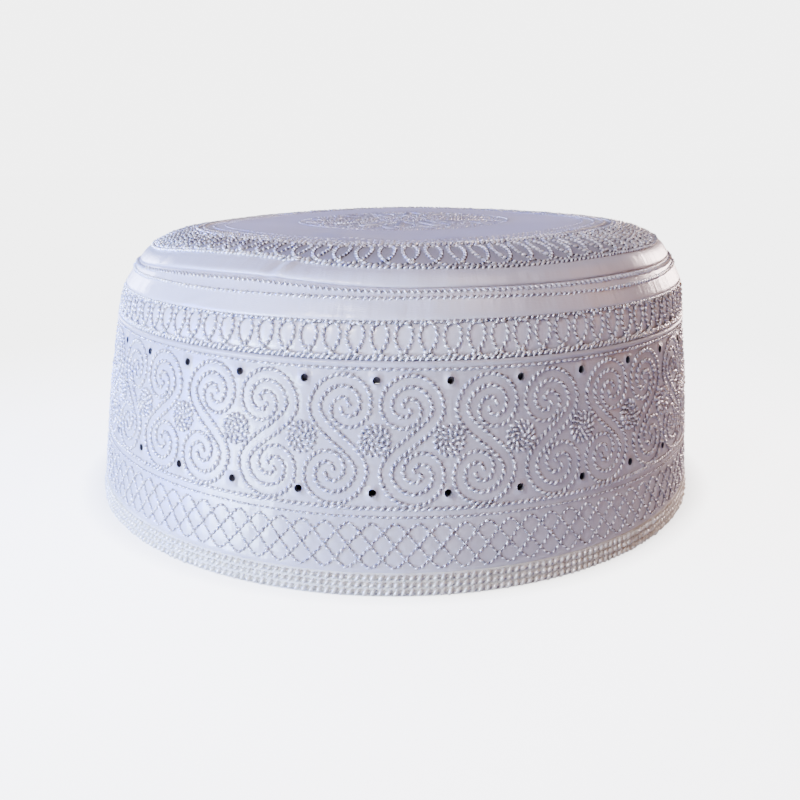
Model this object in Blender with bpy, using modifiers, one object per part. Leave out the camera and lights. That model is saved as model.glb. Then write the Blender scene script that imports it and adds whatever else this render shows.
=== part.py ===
"""Embroidered round cap (kufi), standing on its rim.

Five cloth pieces, each one closed wall turned round the cap's axis: a bound lower edge, a stiff side band
with pierced eyelets, an upper band, a shoulder band and a crown. Metres, +Z up, front towards -Y, origin on
the floor under the middle of the rim.
"""

import math
from collections import namedtuple

import bmesh
import bpy
from mathutils import Vector

MM = 0.001

# How finely the cloth is faceted
SEGMENTS = 64
OUTLINE_SAMPLES = 24

# Gap that keeps two touching pieces apart
GAP = 0.3 * MM

# The cap's outer line from the rim up to the middle of the crown
Level = namedtuple("Level", "name height radius")
OUTLINE = [
    Level("rim", 0.0 * MM, 91.0 * MM),
    Level("hem_top", 5.0 * MM, 90.7 * MM),
    Level("panel_foot", 18.1 * MM, 89.5 * MM),
    Level("panel_middle", 35.5 * MM, 87.3 * MM),
    Level("ridge", 52.8 * MM, 84.8 * MM),
    Level("shoulder_seam", 62.0 * MM, 82.8 * MM),
    Level("crown_seam", 68.3 * MM, 79.3 * MM),
    Level("crown_edge", 72.5 * MM, 75.2 * MM),
    Level("flat_edge", 76.5 * MM, 62.4 * MM),
    Level("crown_half", 77.3 * MM, 32.0 * MM),
    Level("crown_middle", 77.6 * MM, 0.0 * MM),
]

# How the soft cap has settled: pushed towards +X, raised or sunk on its +X side, and deeper than wide
Settling = namedtuple("Settling", "height sideways lift depth_ratio")
SETTLED = [
    Settling(0.0 * MM, 0.0 * MM, 0.0 * MM, 1.058),
    Settling(18.1 * MM, 0.5 * MM, -0.8 * MM, 1.025),
    Settling(52.8 * MM, 1.7 * MM, -0.3 * MM, 1.000),
    Settling(62.0 * MM, 2.3 * MM, 0.4 * MM, 1.000),
    Settling(72.5 * MM, 2.6 * MM, 1.3 * MM, 1.000),
    Settling(77.6 * MM, 2.8 * MM, 0.9 * MM, 1.000),
]
LIFT_REACH = 85.0 * MM

# Sections of the cloth walls: a row for each fold, by its distance up the outline,
# how far the outer face stands out from the outline, and the wall there
Fold = namedtuple("Fold", "distance outset wall")
SIDE_BAND = [
    Fold(1.2 * MM, -1.1 * MM, 1.6 * MM),
    Fold(5.2 * MM, -1.1 * MM, 1.6 * MM),
    Fold(6.2 * MM, -0.1 * MM, 1.8 * MM),
    Fold(18.2 * MM, 0.0 * MM, 1.8 * MM),
    Fold(35.7 * MM, 0.0 * MM, 1.8 * MM),
    Fold(51.2 * MM, 0.0 * MM, 1.8 * MM),
    Fold(52.2 * MM, 0.5 * MM, 2.2 * MM),
    Fold(53.0 * MM, 0.5 * MM, 2.1 * MM),
    Fold(53.35 * MM, 0.0 * MM, 1.3 * MM),
]
UPPER_BAND = [
    Fold(48.4 * MM, -2.1 * MM, 1.2 * MM),
    Fold(53.0 * MM, -2.0 * MM, 1.2 * MM),
    Fold(54.3 * MM, -0.5 * MM, 1.2 * MM),
    Fold(61.3 * MM, -0.2 * MM, 1.2 * MM),
    Fold(62.3 * MM, -1.4 * MM, 1.1 * MM),
    Fold(65.6 * MM, -1.5 * MM, 1.1 * MM),
]
SHOULDER_BAND = [
    Fold(62.6 * MM, 0.0 * MM, 1.0 * MM),
    Fold(63.3 * MM, 0.25 * MM, 1.25 * MM),
    Fold(66.0 * MM, 0.0 * MM, 1.2 * MM),
    Fold(69.2 * MM, -0.2 * MM, 1.1 * MM),
    Fold(70.0 * MM, -1.6 * MM, 1.0 * MM),
    Fold(73.0 * MM, -1.6 * MM, 1.0 * MM),
]
CROWN = [
    Fold(70.1 * MM, 0.0 * MM, 1.1 * MM),
    Fold(70.8 * MM, 0.2 * MM, 1.3 * MM),
    Fold(75.6 * MM, 0.0 * MM, 1.3 * MM),
    Fold(82.4 * MM, 0.0 * MM, 1.3 * MM),
    Fold(89.3 * MM, 0.0 * MM, 1.3 * MM),
    Fold(104.0 * MM, 0.0 * MM, 1.3 * MM),
    Fold(119.8 * MM, 0.0 * MM, 1.3 * MM),
]
CROWN_WALL = 1.3 * MM

# The binding wraps the side band's lower edge in a U
BINDING_WALL = 0.8 * MM
BINDING_OUTER_LEG = 5.0 * MM
BINDING_INNER_LEG = 4.2 * MM
BINDING_FLOOR = 0.9 * MM
BINDING_SOFTENED = 0.5 * MM

# Eyelets pierced through the side band, two to each embroidery cell
CELLS = 32
PATTERN_TURN = math.radians(-93.5)
EYELET_RADIUS = 0.85 * MM
EYELET_SIDES = 8
EYELET_ROWS = (23.5 * MM, 48.9 * MM)
CUTTER_LENGTH = 9.0 * MM

Cloth = namedtuple("Cloth", "name colour roughness")
SATIN = Cloth("white_satin", (0.80, 0.80, 0.86, 1.0), 0.42)
BINDING_THREAD = Cloth("cream_thread", (0.86, 0.85, 0.82, 1.0), 0.5)


def clear_scene():
    for thing in list(bpy.data.objects):
        bpy.data.objects.remove(thing)


def between(low, high, share):
    return low + (high - low) * share


def smooth(before, start, end, after, share):
    """Catmull-Rom value between start and end."""
    return 0.5 * (
        2 * start
        + (end - before) * share
        + (2 * before - 5 * start + 4 * end - after) * share**2
        + (3 * start - before - 3 * end + after) * share**3
    )


def outline_points():
    """The outline as closely spaced (radius, height) points, smooth through every level."""
    points = []
    last = len(OUTLINE) - 1
    for index in range(last):
        start, end = OUTLINE[index], OUTLINE[index + 1]
        before = OUTLINE[max(index - 1, 0)]
        # Past the middle the crown goes down its far side, so the line is level there
        after = OUTLINE[index + 2] if index + 2 <= last else start._replace(radius=-start.radius)
        for step in range(OUTLINE_SAMPLES):
            share = step / OUTLINE_SAMPLES
            points.append(
                Vector((
                    smooth(before.radius, start.radius, end.radius, after.radius, share),
                    smooth(before.height, start.height, end.height, after.height, share),
                ))
            )
    points.append(Vector((OUTLINE[-1].radius, OUTLINE[-1].height)))
    return points


class Outline:
    """The outline measured by the distance walked from the rim."""

    def __init__(self):
        self.points = outline_points()
        self.reach = [0.0]
        for start, end in zip(self.points, self.points[1:]):
            self.reach.append(self.reach[-1] + (end - start).length)

    def at(self, distance, outset=0.0):
        """(radius, height) at a distance, moved outwards at right angles to the line."""
        index = 0
        while index < len(self.reach) - 2 and self.reach[index + 1] < distance:
            index += 1
        start, end = self.points[index], self.points[index + 1]
        share = (distance - self.reach[index]) / (self.reach[index + 1] - self.reach[index])
        along = (end - start).normalized()
        outwards = Vector((along.y, -along.x))
        return start.lerp(end, share) + outwards * outset


def settled(point):
    """Where a point of the evenly turned cap lies on the settled one."""
    index = 0
    while index < len(SETTLED) - 2 and SETTLED[index + 1].height < point.z:
        index += 1
    low, high = SETTLED[index], SETTLED[index + 1]
    share = (point.z - low.height) / (high.height - low.height)
    sideways = between(low.sideways, high.sideways, share)
    lift = between(low.lift, high.lift, share)
    depth_ratio = between(low.depth_ratio, high.depth_ratio, share)
    return Vector((
        point.x + sideways,
        point.y * depth_ratio,
        point.z + lift * point.x / LIFT_REACH,
    ))


def wall_section(outline, folds):
    """A wall's closed section: down its outer face, then up its inner face."""
    outer = [outline.at(fold.distance, fold.outset) for fold in folds]
    inner = [outline.at(fold.distance, fold.outset - fold.wall) for fold in folds]
    return outer[::-1] + inner


def crown_section(outline):
    """The crown's open section, from the axis down the outer face and back up to the axis inside."""
    top = Vector((0.0, OUTLINE[-1].height))
    underside = Vector((0.0, OUTLINE[-1].height - CROWN_WALL))
    return [top] + wall_section(outline, CROWN) + [underside]


def binding_section(outline):
    """The U round the side band's lower edge, flat where it stands on the floor."""
    edge = SIDE_BAND[0]
    slot_outer = edge.outset + GAP
    slot_inner = edge.outset - edge.wall - GAP
    inside = slot_inner - BINDING_WALL
    shoulder = BINDING_SOFTENED

    def level(height, outset):
        return Vector((outline.at(height).x + outset, height))

    return [
        level(BINDING_OUTER_LEG, -shoulder),
        level(BINDING_OUTER_LEG - shoulder, 0.0),
        level(shoulder, 0.0),
        level(0.0, -shoulder),
        level(0.0, inside + shoulder),
        level(shoulder, inside),
        level(BINDING_INNER_LEG - shoulder, inside),
        level(BINDING_INNER_LEG, inside + shoulder),
        level(BINDING_INNER_LEG, slot_inner),
        level(BINDING_FLOOR, slot_inner),
        level(BINDING_FLOOR, slot_outer),
        level(BINDING_OUTER_LEG, slot_outer),
    ]


def turned(name, section, closed):
    """A piece made by turning its section once round the cap's axis, then settling it."""
    edges = [(i, i + 1) for i in range(len(section) - 1)]
    if closed:
        edges.append((len(section) - 1, 0))
    profile = bpy.data.meshes.new(name + "_section")
    profile.from_pydata([(p.x, 0.0, p.y) for p in section], edges, [])
    carrier = bpy.data.objects.new(name + "_section", profile)
    bpy.context.scene.collection.objects.link(carrier)

    screw = carrier.modifiers.new("turn", "SCREW")
    screw.axis = "Z"
    screw.angle = math.tau
    screw.steps = SEGMENTS
    screw.render_steps = SEGMENTS
    screw.use_merge_vertices = True
    screw.merge_threshold = 0.00001

    evaluated = carrier.evaluated_get(bpy.context.evaluated_depsgraph_get())
    mesh = bpy.data.meshes.new_from_object(evaluated)
    mesh.name = name
    bpy.data.objects.remove(carrier)
    for vertex in mesh.vertices:
        vertex.co = settled(vertex.co)
    mesh.shade_smooth()
    mesh.set_sharp_from_angle(angle=math.radians(40))
    return bpy.data.objects.new(name, mesh)


def eyelet_cutters(outline):
    """Round pins through every eyelet, all in one cutter."""
    mesh = bmesh.new()
    for cell in range(CELLS):
        turn = PATTERN_TURN + cell * math.tau / CELLS
        outwards = Vector((math.cos(turn), math.sin(turn), 0.0))
        for distance in EYELET_ROWS:
            spot = outline.at(distance)
            centre = settled(Vector((spot.x * outwards.x, spot.x * outwards.y, spot.y)))
            place = outwards.to_track_quat("Z", "Y").to_matrix().to_4x4()
            place.translation = centre
            bmesh.ops.create_cone(
                mesh,
                cap_ends=True,
                segments=EYELET_SIDES,
                radius1=EYELET_RADIUS,
                radius2=EYELET_RADIUS,
                depth=CUTTER_LENGTH,
                matrix=place,
            )
    data = bpy.data.meshes.new("eyelet_cutters")
    mesh.to_mesh(data)
    mesh.free()
    cutters = bpy.data.objects.new("eyelet_cutters", data)
    cutters.hide_render = True
    cutters.display_type = "WIRE"
    return cutters


def pierce(piece, cutters):
    cut = piece.modifiers.new("eyelets", "BOOLEAN")
    cut.operation = "DIFFERENCE"
    cut.solver = "EXACT"
    cut.object = cutters


def cloth_material(cloth):
    material = bpy.data.materials.new(cloth.name)
    material.use_nodes = True
    shader = material.node_tree.nodes["Principled BSDF"]
    shader.inputs["Base Color"].default_value = cloth.colour
    shader.inputs["Roughness"].default_value = cloth.roughness
    shader.inputs["Metallic"].default_value = 0.0
    return material


def new_collection(name):
    collection = bpy.data.collections.new(name)
    bpy.context.scene.collection.children.link(collection)
    return collection


def main():
    clear_scene()
    outline = Outline()
    cap = new_collection("kufi")
    tools = new_collection("cutters")

    satin = cloth_material(SATIN)
    thread = cloth_material(BINDING_THREAD)
    stand = bpy.data.objects.new("cap_axis", None)
    cap.objects.link(stand)

    sections = {
        "hem_binding": (binding_section(outline), True, thread),
        "side_band": (wall_section(outline, SIDE_BAND), True, satin),
        "upper_band": (wall_section(outline, UPPER_BAND), True, satin),
        "shoulder_band": (wall_section(outline, SHOULDER_BAND), True, satin),
        "crown": (crown_section(outline), False, satin),
    }
    pieces = {}
    for name, (section, closed, material) in sections.items():
        piece = turned(name, section, closed)
        piece.data.materials.append(material)
        piece.parent = stand
        cap.objects.link(piece)
        pieces[name] = piece

    cutters = eyelet_cutters(outline)
    tools.objects.link(cutters)
    pierce(pieces["side_band"], cutters)


main()
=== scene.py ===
import math
from collections import namedtuple

import bpy
import numpy as np
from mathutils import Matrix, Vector
from mathutils.kdtree import KDTree


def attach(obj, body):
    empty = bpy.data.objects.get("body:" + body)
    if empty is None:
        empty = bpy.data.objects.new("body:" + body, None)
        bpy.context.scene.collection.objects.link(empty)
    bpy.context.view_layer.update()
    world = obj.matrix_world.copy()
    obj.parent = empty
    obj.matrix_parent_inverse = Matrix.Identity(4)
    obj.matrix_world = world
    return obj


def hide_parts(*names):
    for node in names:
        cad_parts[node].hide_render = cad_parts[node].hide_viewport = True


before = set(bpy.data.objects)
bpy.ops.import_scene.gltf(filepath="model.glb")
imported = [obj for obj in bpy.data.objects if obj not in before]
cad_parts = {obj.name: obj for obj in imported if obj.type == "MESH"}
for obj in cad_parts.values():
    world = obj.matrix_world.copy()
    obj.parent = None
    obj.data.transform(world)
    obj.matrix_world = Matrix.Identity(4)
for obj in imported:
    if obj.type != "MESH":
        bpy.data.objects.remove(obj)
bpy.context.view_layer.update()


# Side band
# The tall stiff panel of the kufi: white satin over buckram, sewn into a ring that narrows upwards.
# Its top edge is folded over into a round lip, its foot is held in the hem binding, and two rows of
# small eyelets are pierced through it.

MM = 0.001
CELLS = 32
CELL_TURN = math.tau / CELLS
PATTERN_TURN = math.radians(-93.5)

Level = namedtuple("Level", "name height radius")
CAP_OUTLINE = [
    Level("rim", 0.0 * MM, 91.0 * MM),
    Level("hem_top", 5.0 * MM, 90.7 * MM),
    Level("panel_foot", 18.1 * MM, 89.5 * MM),
    Level("panel_middle", 35.5 * MM, 87.3 * MM),
    Level("ridge", 52.8 * MM, 84.8 * MM),
    Level("shoulder_seam", 62.0 * MM, 82.8 * MM),
    Level("crown_seam", 68.3 * MM, 79.3 * MM),
    Level("crown_edge", 72.5 * MM, 75.2 * MM),
    Level("flat_edge", 76.5 * MM, 62.4 * MM),
    Level("crown_half", 77.3 * MM, 32.0 * MM),
    Level("crown_middle", 77.6 * MM, 0.0 * MM),
]

# How the soft cap has settled: sideways towards +X, raised or sunk on that side, and deeper than wide
Settling = namedtuple("Settling", "height sideways lift depth_ratio")
SETTLED = [
    Settling(0.0 * MM, 0.0 * MM, 0.0 * MM, 1.058),
    Settling(18.1 * MM, 0.5 * MM, -0.8 * MM, 1.025),
    Settling(52.8 * MM, 1.7 * MM, -0.3 * MM, 1.000),
    Settling(62.0 * MM, 2.3 * MM, 0.4 * MM, 1.000),
    Settling(72.5 * MM, 2.6 * MM, 1.3 * MM, 1.000),
    Settling(77.6 * MM, 2.8 * MM, 0.9 * MM, 1.000),
]
LIFT_REACH = 85.0 * MM

# The cap's usual radius, which turns an angle into a length along the cloth
MEAN_RADIUS = 80.0 * MM
WEAVE_RADIUS = 85.0 * MM

# Slow waves in the hand-shaped cloth: how many round the cap, and where up the outline they lie
Wave = namedtuple("Wave", "count phase depth climb spread")
CLOTH_WAVES = [
    Wave(2, 0.6, 0.25 * MM, 30 * MM, 30 * MM),
    Wave(7, 2.1, 0.12 * MM, 40 * MM, 18 * MM),
    Wave(5, 0.9, 0.30 * MM, 60 * MM, 9 * MM),
    Wave(11, 2.4, 0.20 * MM, 66 * MM, 6 * MM),
    Wave(8, 0.2, 0.25 * MM, 76 * MM, 9 * MM),
    Wave(3, 1.4, 0.50 * MM, 100 * MM, 18 * MM),
]

# At the left of the front the crown has been drawn up and back over the shoulder: how far its seam
# and its ring have moved there, by their distance up the outline
DRAWN_UP_TURN = math.radians(-121)
DRAWN_UP_REACH = (math.radians(30), math.radians(18.5))
DRAWN_UP_CLIMBS = np.array([66.5, 67.7, 69.0, 70.5, 75.6, 82.0, 90.0, 100.0]) * MM
DRAWN_UP = np.array([0.0, 0.4, 2.4, 3.5, 4.8, 2.6, 0.6, 0.0]) * MM

# Small dents and creases of the soft top, each a short furrow or ridge on a heading of its own
Crease = namedtuple("Crease", "turn climb heading length width depth")
CREASES = [
    Crease(math.radians(-111.4), 73.2 * MM, math.radians(60), 3.6 * MM, 0.7 * MM, 0.85 * MM),
    Crease(math.radians(-114.0), 73.0 * MM, math.radians(62), 3.4 * MM, 0.8 * MM, -0.60 * MM),
    Crease(math.radians(-134.0), 71.8 * MM, 0.0, 22.0 * MM, 1.6 * MM, -0.20 * MM),
    Crease(math.radians(-127.0), 64.8 * MM, math.radians(20), 5.0 * MM, 0.9 * MM, 0.25 * MM),
    Crease(math.radians(-104.0), 98.0 * MM, math.radians(12), 9.0 * MM, 1.8 * MM, 0.50 * MM),
    Crease(math.radians(-112.0), 104.0 * MM, math.radians(-8), 10.0 * MM, 2.0 * MM, 0.60 * MM),
    Crease(math.radians(-76.0), 101.0 * MM, math.radians(-14), 9.0 * MM, 2.0 * MM, 0.45 * MM),
    Crease(math.radians(-60.0), 65.5 * MM, math.radians(12), 7.0 * MM, 0.9 * MM, 0.20 * MM),
    Crease(math.radians(-97.0), 65.8 * MM, math.radians(-10), 8.0 * MM, 1.0 * MM, 0.18 * MM),
]


def traced(values, last, samples=24):
    """A smooth line through the values, carried on past its end to the value given as last."""
    known = np.concatenate([values[:1], values, [last]])
    share = np.arange(samples) / samples
    before, start, end, after = (known[i:len(known) - 3 + i, None] for i in range(4))
    line = 0.5 * (
        2 * start
        + (end - before) * share
        + (2 * before - 5 * start + 4 * end - after) * share**2
        + (3 * start - before - 3 * end + after) * share**3
    )
    return np.append(line.ravel(), values[-1])


OUTLINE_RADII = traced(np.array([level.radius for level in CAP_OUTLINE]), -CAP_OUTLINE[-2].radius)
OUTLINE_HEIGHTS = traced(np.array([level.height for level in CAP_OUTLINE]), CAP_OUTLINE[-2].height)
OUTLINE_CLIMB = np.concatenate(
    [[0.0], np.cumsum(np.hypot(np.diff(OUTLINE_RADII), np.diff(OUTLINE_HEIGHTS)))]
)
OUTWARDS_RADIUS = np.gradient(OUTLINE_HEIGHTS, OUTLINE_CLIMB)
OUTWARDS_HEIGHT = -np.gradient(OUTLINE_RADII, OUTLINE_CLIMB)
CROWN_MIDDLE = OUTLINE_CLIMB[-1]

SETTLE_HEIGHTS = np.arange(-6, 86, 0.25) * MM
EASING = 16


def eased(values):
    """One column of the settling, with its corners eased."""
    heights = [row.height for row in SETTLED]
    line = np.interp(SETTLE_HEIGHTS, heights, values)
    window = np.hanning(2 * EASING + 1)
    padded = np.pad(line, EASING, mode="edge")
    return np.convolve(padded, window / window.sum(), mode="valid")


SIDEWAYS = eased([row.sideways for row in SETTLED])
LIFT = eased([row.lift for row in SETTLED])
DEPTH_RATIO = np.interp(
    SETTLE_HEIGHTS, [row.height for row in SETTLED], [row.depth_ratio for row in SETTLED]
)


def on_cap(turn, climb, out=0.0):
    """Points on the settled cap, by the angle round it, the distance up its outline and how far out."""
    turn, climb, out = np.broadcast_arrays(turn, climb, out)
    for wave in CLOTH_WAVES:
        swell = np.exp(-(((climb - wave.climb) / wave.spread) ** 2))
        out = out + wave.depth * swell * np.cos(wave.count * turn + wave.phase)
    for crease in CREASES:
        across = ((turn - crease.turn + math.pi) % math.tau - math.pi) * MEAN_RADIUS
        along = across * math.cos(crease.heading) + (climb - crease.climb) * math.sin(crease.heading)
        beside = (climb - crease.climb) * math.cos(crease.heading) - across * math.sin(crease.heading)
        out = out + crease.depth * np.exp(-((along / crease.length) ** 2) - (beside / crease.width) ** 2)
    past = (turn - DRAWN_UP_TURN + math.pi) % math.tau - math.pi
    drawn = np.exp(-((past / np.where(past < 0, *DRAWN_UP_REACH)) ** 2))
    climb = climb + drawn * np.interp(climb, DRAWN_UP_CLIMBS, DRAWN_UP)
    radius = np.interp(climb, OUTLINE_CLIMB, OUTLINE_RADII)
    radius = radius + out * np.interp(climb, OUTLINE_CLIMB, OUTWARDS_RADIUS)
    height = np.interp(climb, OUTLINE_CLIMB, OUTLINE_HEIGHTS)
    height = height + out * np.interp(climb, OUTLINE_CLIMB, OUTWARDS_HEIGHT)
    x = radius * np.cos(turn)
    y = radius * np.sin(turn)
    sideways = np.interp(height, SETTLE_HEIGHTS, SIDEWAYS)
    lift = np.interp(height, SETTLE_HEIGHTS, LIFT)
    depth_ratio = np.interp(height, SETTLE_HEIGHTS, DEPTH_RATIO)
    return np.stack([x + sideways, y * depth_ratio, height + lift * x / LIFT_REACH], axis=-1)


def cloth_mesh(name, turns, climbs, outs, faces, material):
    """One closed cloth piece from the places of its points on the cap."""
    mesh = bpy.data.meshes.new(name)
    places = on_cap(turns, climbs, outs).reshape(-1, 3)
    mesh.from_pydata(places.tolist(), [], faces.tolist())
    across = mesh.uv_layers.new(name="cloth")
    corner_points = np.empty(len(mesh.loops), dtype=np.int64)
    mesh.loops.foreach_get("vertex_index", corner_points)
    around = (turns.ravel() * WEAVE_RADIUS)[corner_points]
    upward = climbs.ravel()[corner_points]
    # The last column joins the first, so its faces carry on past a whole turn
    whole = math.tau * WEAVE_RADIUS
    around = around.reshape(-1, 4)
    around = np.where(around.max(axis=1, keepdims=True) - around > whole / 2, around + whole, around)
    across.data.foreach_set("uv", np.stack([around.ravel(), upward], axis=-1).ravel())
    mesh.shade_smooth()
    mesh.materials.append(material)
    piece = bpy.data.objects.new(name, mesh)
    bpy.context.scene.collection.objects.link(piece)
    return piece


def turned_wall(name, section, material, columns=640, closed=True):
    """A cloth wall made by carrying the (climb, out) points of its section round the cap."""
    turn = PATTERN_TURN + np.arange(columns) * math.tau / columns
    climbs, outs = (np.repeat(section[:, i:i + 1], columns, axis=1) for i in (0, 1))
    turns = np.repeat(turn[None, :], len(section), axis=0)
    faces = ring_faces(len(section), columns, closed)
    return cloth_mesh(name, turns, climbs, outs, faces, material)


def ring_faces(rows, columns, closed=True):
    """Four-sided faces of a wall, as rows of point numbers."""
    row = np.arange(rows if closed else rows - 1)[:, None]
    column = np.arange(columns)[None, :]
    below, beside = (row + 1) % rows, (column + 1) % columns
    corners = [row * columns + column, below * columns + column,
               below * columns + beside, row * columns + beside]
    return np.stack(np.broadcast_arrays(*corners), axis=-1).reshape(-1, 4)


def add_node(tree, kind, settings=(), **inputs):
    """A shader node, with its settings and its inputs' values or links."""
    node = tree.nodes.new("ShaderNode" + kind)
    for name, value in dict(settings).items():
        setattr(node, name, value)
    for name, value in inputs.items():
        socket = node.inputs[name.replace("_", " ")]
        if isinstance(value, bpy.types.NodeSocket):
            tree.links.new(value, socket)
        else:
            socket.default_value = value
    return node


def satin(name, light, shade, roughness=0.46, puckered=True):
    """Satin cloth: long smooth floats with faint slubs, a soft sheen and slow changes of tone.

    Where it is drawn tight between two seams it is puckered upright."""
    material = bpy.data.materials.new(name)
    material.use_nodes = True
    tree = material.node_tree
    shader = tree.nodes["Principled BSDF"]
    shader.inputs["Roughness"].default_value = roughness
    shader.inputs["Sheen Weight"].default_value = 0.25
    shader.inputs["Sheen Roughness"].default_value = 0.4
    shader.inputs["Specular IOR Level"].default_value = 0.85
    cloth = add_node(tree, "UVMap", {"uv_map": "cloth"})
    place = add_node(tree, "TexCoord")
    tone = add_node(tree, "TexNoise", Vector=place.outputs["Object"], Scale=38.0, Detail=3.0)
    tone_mix = add_node(tree, "ValToRGB", Fac=tone.outputs["Fac"])
    tone_mix.color_ramp.elements[0].position = 0.35
    tone_mix.color_ramp.elements[0].color = (*shade, 1.0)
    tone_mix.color_ramp.elements[1].position = 0.65
    tone_mix.color_ramp.elements[1].color = (*light, 1.0)
    tree.links.new(tone_mix.outputs["Color"], shader.inputs["Base Color"])
    floats = add_node(tree, "Mapping", Vector=cloth.outputs["UV"], Scale=(900.0, 3600.0, 1.0))
    floats.inputs["Rotation"].default_value = (0.0, 0.0, math.radians(12))
    weave = add_node(tree, "TexNoise", Vector=floats.outputs["Vector"], Scale=1.0, Detail=2.0)
    if puckered:
        upright = add_node(tree, "Mapping", Vector=cloth.outputs["UV"], Scale=(170.0, 45.0, 1.0))
    else:
        upright = add_node(tree, "Mapping", Vector=place.outputs["Object"], Scale=(50.0, 70.0, 60.0))
    puckers = add_node(tree, "TexNoise", Vector=upright.outputs["Vector"], Scale=1.0, Detail=3.0)
    fine = add_node(tree, "Bump", Height=weave.outputs["Fac"], Strength=0.35, Distance=0.00012)
    soft = add_node(
        tree, "Bump", Height=puckers.outputs["Fac"], Strength=0.6, Distance=0.0009,
        Normal=fine.outputs["Normal"],
    )
    tree.links.new(soft.outputs["Normal"], shader.inputs["Normal"])
    return material


white_satin = satin("white_satin", (0.67, 0.645, 0.71), (0.61, 0.59, 0.66), 0.28)
# The panel is the same satin as the bands, made darker: painted shade of the quilted panel.
panel_shade_satin = satin("panel_shade_satin", (0.52, 0.50, 0.56), (0.455, 0.44, 0.50), 0.33)
# Darker, bluer copies of the same satin for the crown's flat and its ring: painted shade, deepest in the
# ring.
crown_shade_satin = satin("crown_shade_satin", (0.60, 0.59, 0.72), (0.53, 0.52, 0.63), 0.38, puckered=False)
ring_shade_satin = satin("ring_shade_satin", (0.42, 0.40, 0.48), (0.33, 0.32, 0.39), 0.38, puckered=False)
# Near-black cloth for the walls of the eyelets: painted shade inside the holes.
eyelet_shade = satin("eyelet_shade", (0.10, 0.10, 0.13), (0.05, 0.05, 0.07), 0.8)

EYELET_RADIUS = 0.95 * MM
EYELET_ROWS = (23.5 * MM, 48.9 * MM)
COLUMNS_PER_CELL = 20
BESIDE_EYELET = np.array([1.3, 0.45, -0.45, -1.3]) * MM

# The panel's section: down its outer face from the lip, then up its inner face, as (climb, out)
LIP = [
    (53.35, -0.35), (53.3, 0.0), (53.1, 0.35), (52.8, 0.55),
    (52.45, 0.5), (52.15, 0.25), (51.85, 0.06), (51.3, 0.0),
]
FOOT = [(5.9, 0.0), (5.6, -0.25), (5.45, -1.0), (4.6, -1.1), (1.2, -1.1)]
INNER_FOOT = [(1.2, -2.7), (5.2, -2.7), (6.2, -1.9), (12.0, -1.8), (18.0, -1.8)]
INNER_MIDDLE = [(30.0, -1.8), (36.0, -1.8), (42.0, -1.8)]
INNER_LIP = [(51.6, -1.8), (52.6, -1.65), (53.2, -1.4), (53.35, -0.9)]


def straight(start, stop, rows):
    """Evenly spaced rows of flat cloth between two distances up the outline, in mm."""
    return [(climb, 0.0) for climb in np.linspace(start, stop, rows + 2)[1:-1]]


def eyelet_rows(climb, out=0.0):
    return [(value / MM, out) for value in climb + BESIDE_EYELET]


side_section = np.array(
    LIP
    + eyelet_rows(EYELET_ROWS[1])
    + straight(47.6, 24.8, 26)
    + eyelet_rows(EYELET_ROWS[0])
    + straight(22.2, 5.9, 18)
    + FOOT
    + INNER_FOOT
    + eyelet_rows(EYELET_ROWS[0], -1.8)[::-1]
    + INNER_MIDDLE
    + eyelet_rows(EYELET_ROWS[1], -1.8)[::-1]
    + INNER_LIP
) * MM


def pierced_side_band():
    """The panel with every eyelet cut through: the points round an eyelet are drawn onto its circle."""
    columns = CELLS * COLUMNS_PER_CELL
    step = math.tau / columns
    turn = PATTERN_TURN + (np.arange(columns) - 0.5) * step
    rows = len(side_section)
    turns = np.repeat(turn[None, :], rows, axis=0)
    climbs, outs = (np.repeat(side_section[:, i:i + 1], columns, axis=1) for i in (0, 1))
    faces = ring_faces(rows, columns)
    keep = np.ones((rows, columns), dtype=bool)
    hole_walls = []
    for eyelet in EYELET_ROWS:
        radius = np.interp(eyelet, OUTLINE_CLIMB, OUTLINE_RADII)
        outer_top = int(np.argmin(np.abs(side_section[:, 0] - eyelet - BESIDE_EYELET[0])
                                  + (side_section[:, 1] < -MM)))
        inner_bottom = int(np.argmin(np.abs(side_section[:, 0] - eyelet - BESIDE_EYELET[3])
                                     + (side_section[:, 1] > -MM)))
        for cell in range(CELLS):
            middle = PATTERN_TURN + cell * CELL_TURN
            first = cell * COLUMNS_PER_CELL - 1
            edges = []
            for top_row in (outer_top, inner_bottom):
                block = [(top_row + i, (first + j) % columns) for i in range(4) for j in range(4)]
                rim = [block[k] for k in (0, 1, 2, 3, 7, 11, 15, 14, 13, 12, 8, 4)]
                for row, column in rim:
                    across = (turns[row, column] - middle + math.pi) % math.tau - math.pi
                    angle = math.atan2(climbs[row, column] - eyelet, across * radius)
                    climbs[row, column] = eyelet + EYELET_RADIUS * math.sin(angle)
                    turns[row, column] = middle + EYELET_RADIUS * math.cos(angle) / radius
                for i in range(3):
                    for j in range(3):
                        keep[top_row + i, (first + j) % columns] = False
                edges.append([row * columns + column for row, column in rim])
            outer, inner = edges
            # The inner block runs upwards, so its rim is read from its own top row downwards
            inner = [inner[k] for k in (9, 8, 7, 6, 5, 4, 3, 2, 1, 0, 11, 10)]
            for k in range(12):
                hole_walls.append([outer[k], outer[(k + 1) % 12], inner[(k + 1) % 12], inner[k]])
    faces = np.concatenate([faces[keep.ravel()], np.array(hole_walls)])
    used = np.unique(faces)
    new_number = np.full(rows * columns, -1)
    new_number[used] = np.arange(len(used))
    flat = (grid.ravel()[used] for grid in (turns, climbs, outs))
    panel = cloth_mesh("side_band_cloth", *flat, new_number[faces], panel_shade_satin)
    # The walls of the holes are painted near-black: painted shade inside the eyelets.
    panel.data.materials.append(eyelet_shade)
    material_numbers = np.zeros(len(faces), dtype=np.int32)
    material_numbers[-len(hole_walls):] = 1
    panel.data.polygons.foreach_set("material_index", material_numbers)
    return panel


side_band = pierced_side_band()
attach(side_band, "root")
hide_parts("side_band")
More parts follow.
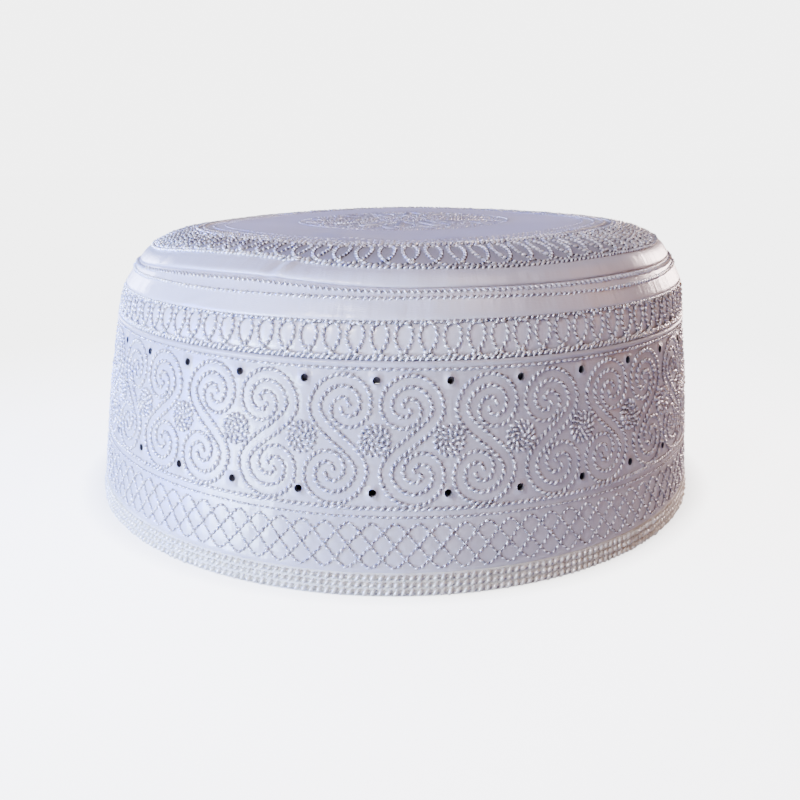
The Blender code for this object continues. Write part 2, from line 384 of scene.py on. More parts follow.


# Scroll embroidery
# Thirty-two S scrolls round the panel, every second one mirrored, each a double line of shiny rope
# stitch that winds into a spiral at both ends. The needle pulls the satin in under every line.

# A stitch is a short padded bundle of thread, thin at both ends where it goes into the cloth. The
# flatter, plainer strand laid in the gaps between stitches is dark: painted shade in those gaps.
Bundle = namedtuple("Bundle", "rings sides sunk")
TOP_STITCH = Bundle([(-0.74, 0.66), (0.0, 1.0), (0.74, 0.66)], 5, 0.15)
GAP_SHADE_STRAND = Bundle([(-0.5, 0.85), (0.5, 0.85)], 3, -0.35)

# How uneven the stitches are: their spacing and slant, and their length, width and rise as shares
UNEVEN_SPACING = 0.03
UNEVEN_SLANT = math.radians(8)
UNEVEN_LENGTH = (0.88, 1.12)
UNEVEN_WIDTH = (0.82, 1.14)
UNEVEN_RISE = (0.8, 1.3)
hand = np.random.default_rng(11)


def stitch_shape(bundle):
    """Points of one stitch as (along, side, up), and its faces."""
    points = [(-1.0, 0.0, -0.1)]
    for ring, (along, girth) in enumerate(bundle.rings):
        for side in range(bundle.sides):
            angle = math.tau * (side + 0.35 * ring) / bundle.sides
            points.append((along, girth * math.cos(angle), girth * math.sin(angle)))
    points.append((1.0, 0.0, -0.1))
    triangles, quads = [], []
    last = len(points) - 1
    start_of_last_ring = last - bundle.sides
    for side in range(bundle.sides):
        beside = (side + 1) % bundle.sides
        triangles.append((0, 1 + beside, 1 + side))
        triangles.append((last, start_of_last_ring + side, start_of_last_ring + beside))
        for ring in range(len(bundle.rings) - 1):
            here, there = 1 + ring * bundle.sides, 1 + (ring + 1) * bundle.sides
            quads.append((here + side, here + beside, there + beside, there + side))
    return np.array(points), np.array(triangles), np.array(quads)


def stitch_row(path, pitch, length, width, slant=0.0, closed=False, rise=0.55, start=0.5):
    """Stitches spaced along a path of (turn, climb) points, each turned off the path by the slant."""
    path = np.asarray(path, dtype=float)
    if closed:
        path = np.concatenate([path, path[:1] + [[math.tau, 0.0]]])
    places = on_cap(path[:, 0], path[:, 1])
    run = np.concatenate([[0.0], np.cumsum(np.linalg.norm(np.diff(places, axis=0), axis=1))])
    count = max(1, int(round(run[-1] / pitch)))
    at = (np.arange(count) + start) * run[-1] / count
    at = at + hand.normal(0.0, UNEVEN_SPACING * pitch, count)

    def spot(distance):
        turn = np.interp(distance, run, path[:, 0])
        climb = np.interp(distance, run, path[:, 1])
        return turn, climb, on_cap(turn, climb)

    turn, climb, middle = spot(at)
    small = 0.05 * MM
    small_turn = small / MEAN_RADIUS
    round_it = on_cap(turn + small_turn, climb) - on_cap(turn - small_turn, climb)
    up_it = on_cap(turn, climb + small) - on_cap(turn, climb - small)
    normal = np.cross(round_it, up_it)
    normal /= np.linalg.norm(normal, axis=1, keepdims=True)
    half = 0.35 * pitch
    along = spot(np.minimum(at + half, run[-1]))[2] - spot(np.maximum(at - half, 0.0))[2]
    along -= normal * np.sum(along * normal, axis=1, keepdims=True)
    along /= np.linalg.norm(along, axis=1, keepdims=True)
    side = np.cross(normal, along)
    lean = slant + hand.normal(0.0, UNEVEN_SLANT, count)
    along = along * np.cos(lean)[:, None] + side * np.sin(lean)[:, None]
    size = np.stack([
        length * hand.uniform(*UNEVEN_LENGTH, count),
        width * hand.uniform(*UNEVEN_WIDTH, count),
        rise * width * hand.uniform(*UNEVEN_RISE, count),
    ], axis=1)
    return np.concatenate([middle, along, normal, size], axis=1)


def thread_piece(name, rows, material, bundle=TOP_STITCH):
    """One piece made of all the stitches in the rows."""
    stitches = np.concatenate(rows)
    points, triangles, quads = stitch_shape(bundle)
    middle, along, normal = stitches[:, 0:3], stitches[:, 3:6], stitches[:, 6:9]
    length, width, height = (stitches[:, i][:, None, None] for i in (9, 10, 11))
    side = np.cross(normal, along)
    shape = points[None, :, :]
    places = (
        middle[:, None, :]
        + along[:, None, :] * shape[..., 0:1] * length / 2
        + side[:, None, :] * shape[..., 1:2] * width / 2
        + normal[:, None, :] * (shape[..., 2:3] + bundle.sunk) * height
    )
    count, size = len(stitches), len(points)
    shift = (np.arange(count) * size)[:, None, None]
    corners = np.concatenate([(triangles + shift).reshape(-1), (quads + shift).reshape(-1)])
    starts = np.concatenate([
        np.arange(count * len(triangles)) * 3,
        count * len(triangles) * 3 + np.arange(count * len(quads)) * 4,
    ])
    mesh = bpy.data.meshes.new(name)
    mesh.vertices.add(count * size)
    mesh.vertices.foreach_set("co", places.ravel())
    mesh.loops.add(len(corners))
    mesh.loops.foreach_set("vertex_index", corners.astype(np.int32))
    mesh.polygons.add(len(starts))
    mesh.polygons.foreach_set("loop_start", starts.astype(np.int32))
    mesh.update(calc_edges=True)
    mesh.validate()
    tone = np.repeat(hand.uniform(0.0, 1.0, count), size)
    run = np.tile(points[:, 0] * 0.5 + 0.5, count)
    girth = np.tile(np.arctan2(points[:, 2], points[:, 1]) / math.tau + 0.5, count)
    marks = mesh.attributes.new("stitch", "FLOAT_COLOR", "POINT")
    marks.data.foreach_set("color", np.stack([tone, run, girth, np.ones_like(tone)], axis=1).ravel())
    mesh.shade_smooth()
    mesh.materials.append(material)
    piece = bpy.data.objects.new(name, mesh)
    bpy.context.scene.collection.objects.link(piece)
    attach(piece, "root")
    return piece


INSIDE_HEIGHT = 30 * MM


def pull_in(cloth, rows, depth=0.36 * MM, reach=1.15 * MM):
    """Sinks the cloth under every stitch, so that it swells between the lines."""
    middles = np.concatenate(rows)[:, 0:3]
    tree = KDTree(len(middles))
    for number, middle in enumerate(middles):
        tree.insert(middle, number)
    tree.balance()
    for point in cloth.data.vertices:
        distance = tree.find(point.co)[2]
        if distance < reach:
            away = Vector((point.co.x, point.co.y, point.co.z - INSIDE_HEIGHT)).normalized()
            point.co -= away * depth * 0.5 * (1 + math.cos(math.pi * distance / reach))


def shiny_thread(name, light, shade, roughness=0.24):
    """Glossy rayon thread: fine filaments run along each stitch, and its tone varies a little."""
    material = bpy.data.materials.new(name)
    material.use_nodes = True
    tree = material.node_tree
    shader = tree.nodes["Principled BSDF"]
    shader.inputs["Roughness"].default_value = roughness
    shader.inputs["Specular IOR Level"].default_value = 1.0
    shader.inputs["Metallic"].default_value = 0.30
    shader.inputs["Coat Weight"].default_value = 0.8
    shader.inputs["Coat Roughness"].default_value = 0.14
    marks = add_node(tree, "Attribute", {"attribute_name": "stitch"})
    parts = add_node(tree, "SeparateColor", Color=marks.outputs["Color"])
    tone = add_node(tree, "ValToRGB", Fac=parts.outputs["Red"])
    tone.color_ramp.elements[0].color = (*shade, 1.0)
    tone.color_ramp.elements[1].color = (*light, 1.0)
    tree.links.new(tone.outputs["Color"], shader.inputs["Base Color"])
    winding = add_node(tree, "Math", {"operation": "MULTIPLY_ADD"})
    tree.links.new(parts.outputs["Blue"], winding.inputs[0])
    winding.inputs[1].default_value = 6.0
    tree.links.new(parts.outputs["Green"], winding.inputs[2])
    filaments = add_node(tree, "Math", {"operation": "PINGPONG"})
    tree.links.new(winding.outputs[0], filaments.inputs[0])
    filaments.inputs[1].default_value = 0.5
    bump = add_node(tree, "Bump", Height=filaments.outputs[0], Strength=0.4, Distance=0.00008)
    tree.links.new(bump.outputs["Normal"], shader.inputs["Normal"])
    return material


white_thread = shiny_thread("white_thread", (0.97, 0.97, 1.0), (0.72, 0.72, 0.78))
panel_thread = shiny_thread("panel_thread", (0.94, 0.93, 1.0), (0.54, 0.53, 0.60))
# The two shaded threads are painted shade: dark strands for the gaps between stitches, where shadow
# falls.
deep_shaded_thread = shiny_thread("deep_shaded_thread", (0.20, 0.20, 0.22), (0.08, 0.08, 0.09), 0.6)
shaded_thread = shiny_thread("shaded_thread", (0.42, 0.41, 0.48), (0.22, 0.21, 0.26), 0.5)

PANEL_RADIUS = 87.3 * MM
PANEL_MIDDLE = 35.5 * MM

# A scroll as it is drawn, in mm: its upper spiral's middle and size, how far its two lines lie from
# their middle line, and how many quarter turns each line winds in
SPIRAL_MIDDLE = (1.5, 7.4)
SPIRAL_RADIUS = 7.28
SPIRAL_STEP = 1.34
LINE_OFFSET = 1.32
OUTER_QUARTERS = 5.95
INNER_QUARTERS = 4.0
CROSSING_PULL = 17.0


def scroll_line():
    """One of an S scroll's two lines, as (across, up) in mm from its middle, from spiral to spiral."""
    quarters = np.linspace(OUTER_QUARTERS, 0.0, 120)
    angle = math.pi - quarters * math.pi / 2
    radius = SPIRAL_RADIUS + LINE_OFFSET - SPIRAL_STEP * quarters
    upper = np.stack([
        SPIRAL_MIDDLE[0] + radius * np.cos(angle),
        SPIRAL_MIDDLE[1] + radius * np.sin(angle),
    ], axis=1)
    start = np.array([SPIRAL_MIDDLE[0] - SPIRAL_RADIUS, SPIRAL_MIDDLE[1]])
    pull = np.array([0.0, -CROSSING_PULL])
    share = np.linspace(0.0, 1.0, 60)[1:-1, None]
    middle = (
        (2 * share**3 - 3 * share**2 + 1) * start
        + (share**3 - 2 * share**2 + share) * pull
        + (3 * share**2 - 2 * share**3) * -start
        + (share**3 - share**2) * pull
    )
    heading = np.gradient(middle, axis=0)
    heading /= np.linalg.norm(heading, axis=1, keepdims=True)
    crossing = middle + LINE_OFFSET * np.stack([heading[:, 1], -heading[:, 0]], axis=1)
    quarters = np.linspace(0.0, INNER_QUARTERS, 90)
    angle = -quarters * math.pi / 2
    radius = SPIRAL_RADIUS - LINE_OFFSET - SPIRAL_STEP * quarters
    lower = np.stack([
        -SPIRAL_MIDDLE[0] + radius * np.cos(angle),
        -SPIRAL_MIDDLE[1] + radius * np.sin(angle),
    ], axis=1)
    return np.concatenate([upper, crossing, lower])


def on_panel(cell, shape, mirrored=False):
    """A shape drawn in mm round a cell's middle, as (turn, climb) points on the panel."""
    across = shape[:, 0] * (-1 if mirrored else 1)
    turn = PATTERN_TURN + (cell + 0.5) * CELL_TURN + across * MM / PANEL_RADIUS
    return np.stack([turn, PANEL_MIDDLE + shape[:, 1] * MM], axis=1)


scroll_rows, scroll_shade_rows = [], []
line = scroll_line()
for cell in range(CELLS):
    mirrored = cell % 2 == 0
    for drawn in (line, -line):
        path = on_panel(cell, drawn, mirrored)
        scroll_rows.append(stitch_row(path, 1.48 * MM, 1.55 * MM, 0.86 * MM, math.radians(40)))
        scroll_shade_rows.append(
            stitch_row(path, 1.48 * MM, 1.3 * MM, 0.62 * MM, math.radians(50), start=0.0)
        )
scroll_thread = thread_piece("scroll_thread", scroll_rows, panel_thread)
# Dark strands in the gaps of the scroll lines: painted shade between the stitches.
scroll_shade_thread = thread_piece("scroll_shade_thread", scroll_shade_rows, shaded_thread, GAP_SHADE_STRAND)


# Rosettes
# A small whorl between each pair of scrolls, midway between its two eyelets: three rings of padded
# stitches that all slant the same way.

def gap_shade_row(path, pitch, length=1.1 * MM, width=0.55 * MM, closed=True):
    """The low, flat strand laid in the gaps of a row of stitches, to carry painted shade there."""
    return stitch_row(path, pitch, length, width, math.radians(50), closed=closed, start=0.0)


# The rings of a rosette, in mm
RosetteRing = namedtuple("RosetteRing", "radius stitches length width")
ROSETTE_RINGS = [
    RosetteRing(0.95, 5, 1.30, 0.74),
    RosetteRing(2.10, 10, 1.50, 0.82),
    RosetteRing(3.30, 15, 1.60, 0.88),
]
rosette_rows, rosette_shade_rows = [], []
ring_turn = np.linspace(0.0, math.tau, 60)
for cell in range(CELLS):
    for ring in ROSETTE_RINGS:
        start = hand.uniform(0.0, math.tau)
        drawn = ring.radius * np.stack([np.cos(start - ring_turn), np.sin(start - ring_turn)], axis=1)
        drawn = drawn - [[CELL_TURN * PANEL_RADIUS / MM / 2, 0.0]]
        path = on_panel(cell, drawn)
        pitch = math.tau * ring.radius / ring.stitches * MM
        rosette_rows.append(
            stitch_row(path, pitch, ring.length * MM, ring.width * MM, math.radians(-52), rise=0.7)
        )
        rosette_shade_rows.append(gap_shade_row(path, pitch, 1.1 * MM, 0.7 * MM, closed=False))
rosette_thread = thread_piece("rosette_thread", rosette_rows, panel_thread)
# Dark strands in the gaps of the rosettes: painted shade between the stitches.
rosette_shade_thread = thread_piece(
    "rosette_shade_thread", rosette_shade_rows, shaded_thread, GAP_SHADE_STRAND
)


# Panel lines
# Rows of rope stitch that close the scroll panel: one line just under the lip, and a thick and a
# thin line under the scrolls.

WHOLE_TURN = PATTERN_TURN + np.linspace(0.0, math.tau, 720, endpoint=False)


def level_path(climb):
    """A path all the way round the cap at one distance up its outline."""
    return np.stack([WHOLE_TURN, np.full_like(WHOLE_TURN, climb)], axis=1)


def level_row(climb, pitch, length, width, slant=0.0, **options):
    return stitch_row(level_path(climb), pitch, length, width, slant, closed=True, **options)


line_rows = [
    level_row(51.5 * MM, 1.70 * MM, 1.45 * MM, 0.80 * MM, math.radians(14)),
    level_row(20.1 * MM, 1.62 * MM, 1.85 * MM, 0.85 * MM, math.radians(32)),
    level_row(18.1 * MM, 1.55 * MM, 1.25 * MM, 0.6 * MM, math.radians(12)),
]
line_thread = thread_piece("panel_line_thread", line_rows, panel_thread)
# Dark strands in the gaps of the panel lines: painted shade between the stitches.
line_shade_rows = [
    gap_shade_row(level_path(51.5 * MM), 1.70 * MM, 1.0 * MM, 0.5 * MM),
    gap_shade_row(level_path(20.1 * MM), 1.62 * MM),
    gap_shade_row(level_path(18.1 * MM), 1.55 * MM, 0.9 * MM, 0.45 * MM),
]
lines_shade_thread = thread_piece("panel_line_shade_thread", line_shade_rows, shaded_thread, GAP_SHADE_STRAND)


# Lattice
# An open net of crossing diagonals under the scrolls, whose ends are rounded into scallops. It is
# sewn in one thin line of shorter stitches.

LATTICE_WAVES = 4
LATTICE_PEAKS = 26
LATTICE_MIDDLE = 11.75 * MM
LATTICE_HALF = 4.95 * MM
# How sharp the turns of its waves are: 1 would be a plain zigzag
LATTICE_POINT = 0.94
lattice_rows, lattice_shade_rows = [], []
phase = np.linspace(0.0, math.tau * LATTICE_PEAKS, LATTICE_PEAKS * 48, endpoint=False)
for wave in range(LATTICE_WAVES):
    swing = np.arcsin(LATTICE_POINT * np.sin(phase)) / math.asin(LATTICE_POINT)
    path = np.stack([
        PATTERN_TURN + (phase / LATTICE_PEAKS) + wave * math.tau / LATTICE_PEAKS / LATTICE_WAVES,
        LATTICE_MIDDLE + LATTICE_HALF * swing,
    ], axis=1)
    lattice_rows.append(
        stitch_row(path, 1.42 * MM, 1.15 * MM, 0.66 * MM, math.radians(26), closed=True, rise=0.65)
    )
    lattice_shade_rows.append(gap_shade_row(path, 1.42 * MM, 0.8 * MM, 0.4 * MM))
lattice_thread = thread_piece("lattice_thread", lattice_rows, panel_thread)
# Dark strands in the gaps of the lattice: painted shade between the stitches.
lattice_shade_thread = thread_piece(
    "lattice_shade_thread", lattice_shade_rows, shaded_thread, GAP_SHADE_STRAND
)

pull_in(side_band, scroll_rows + rosette_rows + line_rows + lattice_rows)


# Hem binding
# A cream bias strip folded round the panel's lower edge, so thickly oversewn with three rows of
# slanted thread that hardly any of its cloth shows.

cream_cloth = satin("cream_cloth", (0.66, 0.64, 0.60), (0.58, 0.57, 0.53), 0.6)
cream_thread = shiny_thread("cream_thread", (0.95, 0.93, 0.88), (0.78, 0.76, 0.71), 0.34)
# A dark copy of the cream thread for the hem's gap strands: painted shade between the stitches.
shaded_cream_thread = shiny_thread("shaded_cream_thread", (0.50, 0.49, 0.48), (0.32, 0.31, 0.30), 0.6)

BINDING_SECTION = np.array([
    (5.75, -0.8), (5.82, -0.3), (5.5, 0.0), (3.6, 0.0), (2.4, 0.05), (1.2, 0.0), (0.5, -0.15),
    (0.3, -0.5), (0.2, -0.9), (0.2, -3.0), (0.3, -3.4), (0.6, -3.7), (2.4, -3.8), (3.9, -3.7),
    (4.2, -3.4), (4.2, -3.0), (0.9, -3.0), (0.9, -0.8),
]) * MM
binding = turned_wall("hem_binding_cloth", BINDING_SECTION, cream_cloth)
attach(binding, "root")
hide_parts("hem_binding")

HEM_CLIMBS = (4.7 * MM, 3.1 * MM, 1.4 * MM)
hem_rows = [
    level_row(HEM_CLIMBS[0], 1.78 * MM, 1.85 * MM, 1.05 * MM, math.radians(48), rise=0.65),
    level_row(HEM_CLIMBS[1], 1.78 * MM, 1.9 * MM, 1.1 * MM, math.radians(46), rise=0.65),
    level_row(HEM_CLIMBS[2], 1.78 * MM, 2.1 * MM, 1.15 * MM, math.radians(54), rise=0.65),
]
hem_thread = thread_piece("hem_thread", hem_rows, cream_thread)
# Dark strands in the gaps of the hem rows: painted shade between the stitches.
hem_shade_rows = [
    gap_shade_row(level_path(climb), 1.78 * MM, 2.0 * MM, 1.1 * MM) for climb in HEM_CLIMBS
]
hem_shade_thread = thread_piece("hem_shade_thread", hem_shade_rows, shaded_cream_thread, GAP_SHADE_STRAND)


# Upper band
# The satin strip above the panel, sewn in behind its lip. A continuous coil of tall loops fills it,
# and they cross over each other near their foot. A row of short slanted stitches runs along each edge.

UPPER_SECTION = np.array([
    (48.4, -2.1), (51.0, -2.05), (53.0, -1.9), (53.4, -1.2), (53.8, -0.8), (54.3, -0.5), (55.0, -0.3),
    (55.7, -0.2), (56.4, -0.15), (57.1, -0.1), (57.8, -0.1), (58.5, -0.1), (59.2, -0.1), (59.9, -0.1),
    (60.6, -0.15),
    (61.3, -0.25), (61.9, -0.4), (62.2, -0.8), (62.5, -1.4), (65.6, -1.5),
    (65.6, -2.6), (62.5, -2.5), (61.5, -1.7), (58.0, -1.4), (54.9, -1.6), (53.4, -3.2), (48.4, -3.3),
]) * MM
upper_band = turned_wall("upper_band_cloth", UPPER_SECTION, white_satin)
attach(upper_band, "root")
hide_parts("upper_band")

LOOPS = 96
LOOP_MIDDLE = 58.05 * MM
LOOP_HEIGHT = 3.85 * MM
LOOP_SWING = 3.2 * MM
UPPER_RADIUS = 83.8 * MM
phase = np.linspace(0.0, math.tau * LOOPS, LOOPS * 48, endpoint=False)
coil = np.stack([
    PATTERN_TURN + phase / LOOPS - LOOP_SWING * np.sin(phase) / UPPER_RADIUS,
    LOOP_MIDDLE + LOOP_HEIGHT * np.cos(phase),
], axis=1)
loop_rows = [
    stitch_row(coil, 1.42 * MM, 1.45 * MM, 0.82 * MM, math.radians(34), closed=True),
    level_row(62.1 * MM, 1.45 * MM, 1.2 * MM, 0.66 * MM, math.radians(42)),
    level_row(53.95 * MM, 1.5 * MM, 1.75 * MM, 0.8 * MM, math.radians(50)),
]
loop_thread = thread_piece("loop_thread", loop_rows, white_thread)
# Dark strands in the gaps of the loops and their edge rows: painted shade between the stitches.
loop_shade_rows = [
    gap_shade_row(coil, 1.42 * MM),
    gap_shade_row(level_path(62.1 * MM), 1.45 * MM),
    gap_shade_row(level_path(53.95 * MM), 1.5 * MM, 1.3 * MM, 0.65 * MM),
]
loop_shade_thread = thread_piece("loop_shade_thread", loop_shade_rows, shaded_thread, GAP_SHADE_STRAND)
pull_in(upper_band, loop_rows)


# Shoulder band
# A plain satin strip whose turned lower edge is sewn over the top of the loops. Two rows of slanted
# stitches run close together along its top, with a groove between them.

SHOULDER_SECTION = np.array([
    (62.3, -0.3), (62.4, 0.05), (62.7, 0.25), (63.3, 0.26), (64.0, 0.15), (65.0, 0.05), (66.0, 0.0),
    (67.0, 0.0), (68.0, -0.05), (69.0, -0.1), (69.6, -0.25), (69.9, -0.4), (70.2, -0.9), (70.5, -1.6),
    (73.0, -1.6), (73.0, -2.6), (70.3, -2.6), (69.2, -1.3), (66.0, -1.2), (63.2, -1.0), (62.4, -0.9),
]) * MM
shoulder_band = turned_wall("shoulder_band_cloth", SHOULDER_SECTION, white_satin)
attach(shoulder_band, "root")
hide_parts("shoulder_band")

# The stripe widens a little towards the right of the front
past = (WHOLE_TURN - math.radians(-48) + math.pi) % math.tau - math.pi
lower_edge = 67.6 * MM - 1.0 * MM * np.exp(-((past / math.radians(22)) ** 2))
stripe_edge = np.stack([WHOLE_TURN, lower_edge], axis=1)
stripe_rows = [
    stitch_row(stripe_edge, 1.5 * MM, 1.5 * MM, 0.68 * MM, math.radians(40), closed=True, rise=0.7),
    level_row(69.0 * MM, 1.5 * MM, 1.5 * MM, 0.7 * MM, math.radians(-44), rise=0.7),
]
stripe_thread = thread_piece("stripe_thread", stripe_rows, white_thread)
# Dark strands in the gaps of the stripe's rows: painted shade between the stitches.
stripe_shade_rows = [gap_shade_row(path, 1.5 * MM) for path in (stripe_edge, level_path(69.0 * MM))]
stripe_shade_thread = thread_piece("stripe_shade_thread", stripe_shade_rows, shaded_thread, GAP_SHADE_STRAND)
pull_in(shoulder_band, stripe_rows, 0.15 * MM)


# Crown
# The round satin top, turned under and sewn over the shoulder band. Its rim is plain, then comes a
# ring of interlaced loops between borders of rope stitch, a plain ring, and a medallion in the middle.

CROWN_COLUMNS = 512
# The crown's section, as (climb, out): from its middle down over the edge, and back inside
crown_outer = np.array(
    [(climb, 0.0) for climb in np.linspace(CROWN_MIDDLE / MM, 76.0, 52)]
    + [(75.0, 0.0), (74.0, 0.02), (73.0, 0.06), (72.0, 0.08), (71.2, 0.1), (70.6, 0.1)]
    + [(70.2, 0.0), (70.1, -0.2)]
)
crown_inner = np.array(
    [(70.05, -0.8), (70.4, -1.1), (71.0, -1.2)]
    + [(climb, -1.3) for climb in np.linspace(76.0, CROWN_MIDDLE / MM, 9)]
)
crown_section = np.concatenate([crown_outer, crown_inner]) * MM
crown = turned_wall("crown_cloth", crown_section, white_satin, CROWN_COLUMNS, closed=False)
# The flat of the crown gets a darker, bluer copy of the satin, painted shade of the flat top, and the
# ring's ground a darker one still, painted shade where its stitches crowd it
crown.data.materials.append(ring_shade_satin)
crown.data.materials.append(crown_shade_satin)
RING_GROUND = [75.5, 92.0]
kind_of_row = np.zeros(len(crown_section) - 1, dtype=np.int32)
kind_of_row[:len(crown_outer)] = np.digitize(crown_outer[:, 0], RING_GROUND)
crown.data.polygons.foreach_set("material_index", np.repeat(kind_of_row, CROWN_COLUMNS))
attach(crown, "root")
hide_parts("crown")

RING_LOOPS = 78
RING_MIDDLE = 82.3 * MM
RING_HALF = 5.9 * MM
RING_SWING = 3.1 * MM
RING_RADIUS = 68.0 * MM
phase = np.linspace(0.0, math.tau * RING_LOOPS, RING_LOOPS * 48, endpoint=False)
ring_coil = np.stack([
    PATTERN_TURN + phase / RING_LOOPS - RING_SWING * np.sin(phase) / RING_RADIUS,
    RING_MIDDLE + RING_HALF * np.cos(phase),
], axis=1)
ring_rows = [
    stitch_row(ring_coil, 1.3 * MM, 1.35 * MM, 0.7 * MM, math.radians(40), closed=True, rise=0.7),
    level_row(75.4 * MM, 1.4 * MM, 1.45 * MM, 0.75 * MM, math.radians(40), rise=0.7),
    level_row(89.3 * MM, 1.4 * MM, 1.45 * MM, 0.75 * MM, math.radians(40), rise=0.7),
    level_row(91.4 * MM, 1.4 * MM, 1.45 * MM, 0.75 * MM, math.radians(-40), rise=0.7),
]
ring_thread = thread_piece("ring_thread", ring_rows, white_thread)
# Near-black strands in the gaps of the ring's stitches: painted shade, darker here than anywhere else.
ring_shade_rows = [gap_shade_row(ring_coil, 1.3 * MM, 1.5 * MM, 1.2 * MM)]
ring_shade_rows += [
    gap_shade_row(level_path(climb * MM), 1.4 * MM, 1.4 * MM, 0.8 * MM) for climb in (75.4, 89.3, 91.4)
]
ring_shade_thread = thread_piece("ring_shade_thread", ring_shade_rows, deep_shaded_thread, GAP_SHADE_STRAND)

MEDALLION_CLIMB = CROWN_MIDDLE - 32 * MM
PETALS = 14
PETAL_TURN = math.tau / PETALS
# A darker, bluer copy of the white thread for the medallion: painted shade of the crown's flat top.
crown_shade_thread = shiny_thread("crown_shade_thread", (0.84, 0.84, 0.92), (0.52, 0.51, 0.60), 0.28)
medallion_rows = [
    level_row(94.2 * MM, 1.5 * MM, 1.2 * MM, 0.5 * MM, math.radians(30)),
    level_row(97.5 * MM, 1.6 * MM, 1.1 * MM, 0.4 * MM, math.radians(20)),
    level_row(MEDALLION_CLIMB, 1.5 * MM, 1.3 * MM, 0.55 * MM, math.radians(36)),
    level_row(CROWN_MIDDLE - 7 * MM, 1.4 * MM, 1.3 * MM, 0.65 * MM, math.radians(30)),
    level_row(CROWN_MIDDLE - 5 * MM, 1.4 * MM, 1.3 * MM, 0.65 * MM, math.radians(-30)),
    level_row(CROWN_MIDDLE - 2 * MM, 1.3 * MM, 1.3 * MM, 0.7 * MM, math.radians(30)),
]
share = np.linspace(0.0, 1.0, 40)
for petal in range(PETALS):
    start = PATTERN_TURN + petal * PETAL_TURN
    for side in (1, -1):
        reach = (9 + 21 * share) * MM
        swing = side * PETAL_TURN / 2 * np.sin(math.pi * share) ** 0.8
        path = np.stack([start + swing, CROWN_MIDDLE - reach], axis=1)
        medallion_rows.append(stitch_row(path, 1.45 * MM, 1.45 * MM, 0.65 * MM, math.radians(34)))
    vein = np.stack([np.full(20, start), CROWN_MIDDLE - np.linspace(14, 25, 20) * MM], axis=1)
    medallion_rows.append(stitch_row(vein, 1.1 * MM, 2.6 * MM, 0.95 * MM, math.radians(78)))
medallion_thread = thread_piece("medallion_thread", medallion_rows, crown_shade_thread)
pull_in(crown, ring_rows + medallion_rows)


# Room
# A plain pale floor and wall-less white surroundings, a cool soft light from the left, a warm one
# from the right, and the camera a little above the cap's top.

floor_mesh = bpy.data.meshes.new("floor")
floor_mesh.from_pydata([(-3, -3, 0), (3, -3, 0), (3, 3, 0), (-3, 3, 0)], [], [(0, 1, 2, 3)])
floor = bpy.data.objects.new("floor", floor_mesh)
bpy.context.scene.collection.objects.link(floor)
floor_paint = bpy.data.materials.new("floor_paint")
floor_paint.use_nodes = True
floor_tree = floor_paint.node_tree
floor_shader = floor_tree.nodes["Principled BSDF"]
floor_shader.inputs["Roughness"].default_value = 0.9
floor_shader.inputs["Specular IOR Level"].default_value = 0.0
floor_grain = add_node(floor_tree, "TexNoise", Scale=3.0, Detail=2.0)
floor_tone = add_node(floor_tree, "ValToRGB", Fac=floor_grain.outputs["Fac"])
floor_tone.color_ramp.elements[0].color = (0.87, 0.87, 0.88, 1.0)
floor_tone.color_ramp.elements[1].color = (0.90, 0.90, 0.90, 1.0)
floor_seen = add_node(floor_tree, "LightPath")
floor_place = add_node(floor_tree, "TexCoord")
floor_reach = add_node(
    floor_tree, "VectorMath", {"operation": "LENGTH"}, Vector=floor_place.outputs["Object"]
)
outside_cap = add_node(floor_tree, "MapRange", From_Min=0.085, From_Max=0.10, To_Max=4.9)
floor_tree.links.new(floor_reach.outputs["Value"], outside_cap.inputs["Value"])
floor_glow = add_node(floor_tree, "Math", {"operation": "MULTIPLY"})
floor_tree.links.new(floor_seen.outputs["Is Camera Ray"], floor_glow.inputs[0])
floor_tree.links.new(outside_cap.outputs["Result"], floor_glow.inputs[1])
floor_tree.links.new(floor_glow.outputs[0], floor_shader.inputs["Emission Strength"])
floor_shader.inputs["Emission Color"].default_value = (1.0, 1.0, 1.0, 1.0)
# Away from the cap the floor fades into the even white behind it, and only near it keeps its shadow
beyond_shadow = add_node(floor_tree, "MapRange", From_Min=0.14, From_Max=0.26)
floor_tree.links.new(floor_reach.outputs["Value"], beyond_shadow.inputs["Value"])
faded = add_node(floor_tree, "Math", {"operation": "MULTIPLY"})
floor_tree.links.new(floor_seen.outputs["Is Camera Ray"], faded.inputs[0])
floor_tree.links.new(beyond_shadow.outputs["Result"], faded.inputs[1])
lit_share = add_node(floor_tree, "Math", {"operation": "SUBTRACT"})
lit_share.inputs[0].default_value = 1.0
floor_tree.links.new(faded.outputs[0], lit_share.inputs[1])
floor_colour = add_node(
    floor_tree, "VectorMath", {"operation": "SCALE"}, Vector=floor_tone.outputs["Color"]
)
floor_tree.links.new(lit_share.outputs[0], floor_colour.inputs["Scale"])
floor_tree.links.new(floor_colour.outputs["Vector"], floor_shader.inputs["Base Color"])
floor_mesh.materials.append(floor_paint)

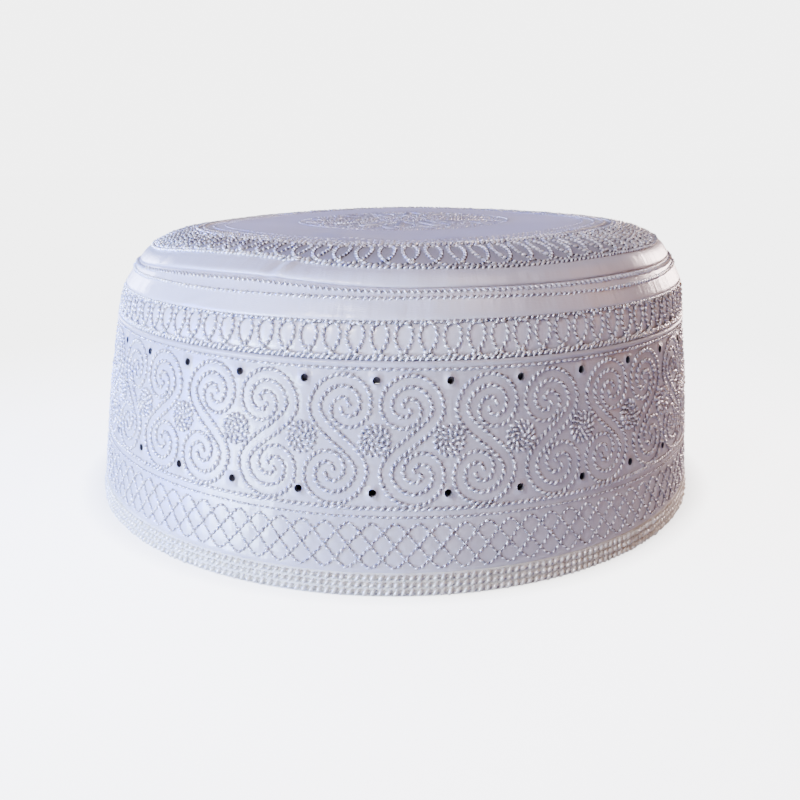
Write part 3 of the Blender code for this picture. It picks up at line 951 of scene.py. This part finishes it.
Lamp = namedtuple("Lamp", "name place size spread power colour")
LAMPS = [
    Lamp("far_left", (-1.56, -0.275, 0.243), (0.36, 0.27), 60, 3.4, (0.06, 0.13, 1.0)),
    Lamp("left_window", (-0.447, -0.258, 0.757), (0.30, 0.30), 180, 2.0, (0.12, 0.32, 1.0)),
    Lamp("low_left", (-0.214, -0.180, 0.025), (0.10, 0.05), 180, 1.4, (0.61, 0.80, 1.0)),
    Lamp("lowest_left", (-0.301, -0.109, 0.026), (0.15, 0.06), 180, 1.7, (0.05, 0.15, 1.0)),
    Lamp("front", (-0.150, -0.285, 0.205), (0.05, 0.05), 180, 1.05, (1.0, 0.93, 0.98)),
    Lamp("front_right", (0.332, -0.395, 0.757), (0.30, 0.30), 180, 1.35, (1.0, 0.72, 0.66)),
    Lamp("right_window", (0.831, -0.073, 0.357), (0.22, 0.75), 180, 1.3, (1.0, 0.42, 0.05)),
    Lamp("back_left", (-0.70, 0.70, 0.20), (0.36, 0.36), 60, 1.35, (0.67, 0.70, 1.0)),
    Lamp("back_right", (0.70, 0.70, 0.20), (0.36, 0.36), 60, 1.5, (1.0, 0.78, 0.75)),
]
LAMPS_AIM = Vector((0.0, 0.0, 0.04))
for lamp in LAMPS:
    light = bpy.data.lights.new(lamp.name, "AREA")
    light.shape = "RECTANGLE"
    light.size, light.size_y = lamp.size
    light.spread = math.radians(lamp.spread)
    light.energy = lamp.power
    light.color = lamp.colour
    holder = bpy.data.objects.new(lamp.name, light)
    holder.location = lamp.place
    holder.rotation_euler = (LAMPS_AIM - Vector(lamp.place)).to_track_quat("-Z", "Y").to_euler()
    bpy.context.scene.collection.objects.link(holder)

surroundings = bpy.data.worlds.new("pale_surroundings")
surroundings.use_nodes = True
sky = surroundings.node_tree
glow = sky.nodes["Background"]
glow.inputs["Strength"].default_value = 0.02
direction = add_node(sky, "TexCoord")
sideways_part = add_node(sky, "SeparateXYZ", Vector=direction.outputs["Generated"])
from_left = add_node(sky, "MapRange", Value=sideways_part.outputs["X"], From_Min=-1.0, From_Max=1.0)
tint = add_node(sky, "ValToRGB", Fac=from_left.outputs["Result"])
tint.color_ramp.elements[0].color = (0.40, 0.50, 1.0, 1.0)
tint.color_ramp.elements[1].color = (1.0, 0.55, 0.50, 1.0)
tint.color_ramp.elements.new(0.5).color = (0.90, 0.82, 1.0, 1.0)
sky.links.new(tint.outputs["Color"], glow.inputs["Color"])
backdrop = add_node(sky, "Background", Color=(1.0, 1.0, 1.0, 1.0), Strength=5.0)
seen = add_node(sky, "LightPath")
either = add_node(sky, "MixShader")
sky.links.new(seen.outputs["Is Camera Ray"], either.inputs[0])
sky.links.new(glow.outputs[0], either.inputs[1])
sky.links.new(backdrop.outputs[0], either.inputs[2])
sky.links.new(either.outputs[0], sky.nodes["World Output"].inputs["Surface"])
bpy.context.scene.world = surroundings

CAMERA_TILT = math.radians(16.2)
view_camera = bpy.data.cameras.new("view")
view_camera.sensor_width = 36.0
view_camera.lens = 38.93
view_camera.clip_start = 0.01
camera = bpy.data.objects.new("view", view_camera)
camera.location = (1.6 * MM, -273.0 * MM, 98.6 * MM)
camera.rotation_euler = (math.pi / 2 - CAMERA_TILT, 0.0, 0.0)
bpy.context.scene.collection.objects.link(camera)
bpy.context.scene.camera = camera
